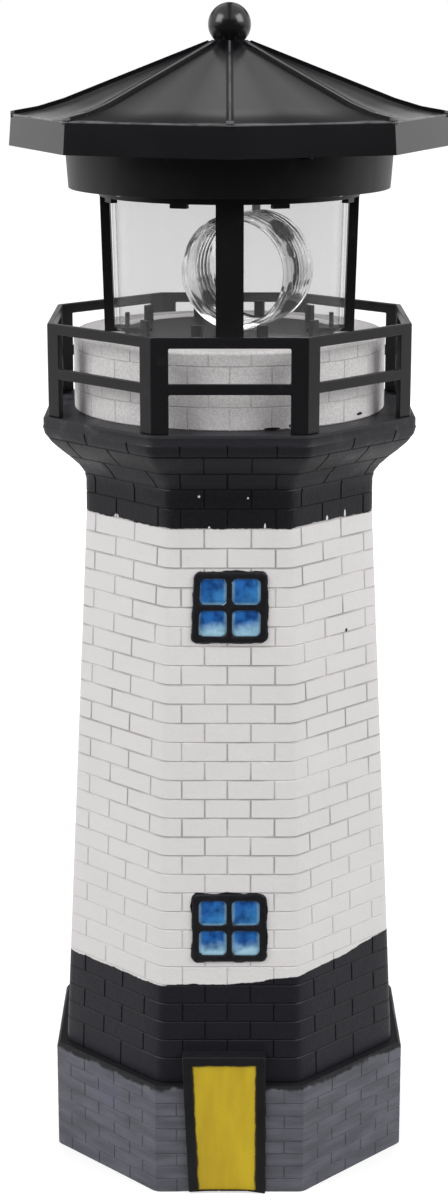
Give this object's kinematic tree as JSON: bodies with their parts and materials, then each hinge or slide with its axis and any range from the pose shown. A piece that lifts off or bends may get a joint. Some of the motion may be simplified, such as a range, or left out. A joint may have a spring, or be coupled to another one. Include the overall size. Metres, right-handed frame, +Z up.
{
  "type": "garden lighthouse ornament",
  "caption": "Eight-sided cast lighthouse with a gallery railing and a lift-off lantern whose clear lens barrel turns under a dark ribbed roof",
  "frame": {"origin": "on the ground under the tower's axis, at the middle of the bounding box's underside", "axes": "+Z up along the tower, +X to the right of a viewer facing the door, the door looks towards -Y"},
  "size_m": [0.1016, 0.1016, 0.275],
  "materials": {
    "tower": "hand-painted cast resin, matt white with a black lower band",
    "railing": "black moulded plastic, satin",
    "black_plastic": "black moulded plastic, satin to glossy",
    "roof": "black moulded plastic, glossy, smoked over the cell",
    "clear": "clear moulded plastic",
    "white_plastic": "white moulded plastic",
    "gear": "natural acetal",
    "steel": "plated steel",
    "board": "green circuit board",
    "cell": "dark blue solar cell under clear resin",
    "battery": "printed sleeve",
    "wire": "black insulated lead"
  },
  "bodies": {
    "tower": {"tower_casting": "tower", "gallery_railing": "railing"},
    "lantern": {"lantern_frame": "black_plastic", "clear_cylinder": "clear", "ceiling_plate": "black_plastic", "ring_housing": "black_plastic", "roof_shell": "roof", "finial": "roof", "cell_frame": "black_plastic", "solar_cell": "cell", "idler_pin": "steel", "gear_plate": "black_plastic", "motor_can": "steel", "base_cover": "black_plastic", "battery": "battery", "battery_contacts": "steel", "circuit_board": "board", "led": "clear", "switch_body": "black_plastic", "lead_wire": "wire", "cover_screws": "steel", "ceiling_screws": "steel", "roof_screws": "steel", "gear_plate_screws": "steel"},
    "lens": {"spindle": "white_plastic", "drive_gear": "gear", "lens_barrel": "clear"},
    "idler": {"idler_gear": "gear"},
    "pinion": {"motor_pinion": "gear", "motor_shaft": "steel"},
    "switch": {"switch_knob": "white_plastic"},
    "battery_door": {"battery_door": "black_plastic"}
  },
  "joints": [
    {"name": "lantern_lift", "type": "slide", "parent": "tower", "child": "lantern", "axis": [0, 0, 1], "range_m": [0, 0.03]},
    {"name": "lens_spin", "type": "hinge", "parent": "lantern", "child": "lens", "pos_m": [0.0062, 0, 0.2378], "axis": [0, 0, 1], "continuous": true},
    {"name": "idler_spin", "type": "hinge", "parent": "lantern", "child": "idler", "pos_m": [-0.00236, 0.0102, 0.239], "axis": [0, 0, 1], "continuous": true},
    {"name": "pinion_spin", "type": "hinge", "parent": "lantern", "child": "pinion", "pos_m": [-0.01389, 0.00483, 0.2402], "axis": [0, 0, 1], "continuous": true},
    {"name": "switch_slide", "type": "slide", "parent": "lantern", "child": "switch", "axis": [1, 0, 0], "range_m": [0, 0.002]},
    {"name": "battery_door_swing", "type": "hinge", "parent": "lantern", "child": "battery_door", "pos_m": [0, -0.0127, 0.1781], "axis": [-1, 0, 0], "range_deg": [0, 90]}
  ],
  "couplings": [
    {"joint": "idler_spin", "follows": "lens_spin", "ratio": -3.4},
    {"joint": "pinion_spin", "follows": "lens_spin", "ratio": 10.88}
  ]
}
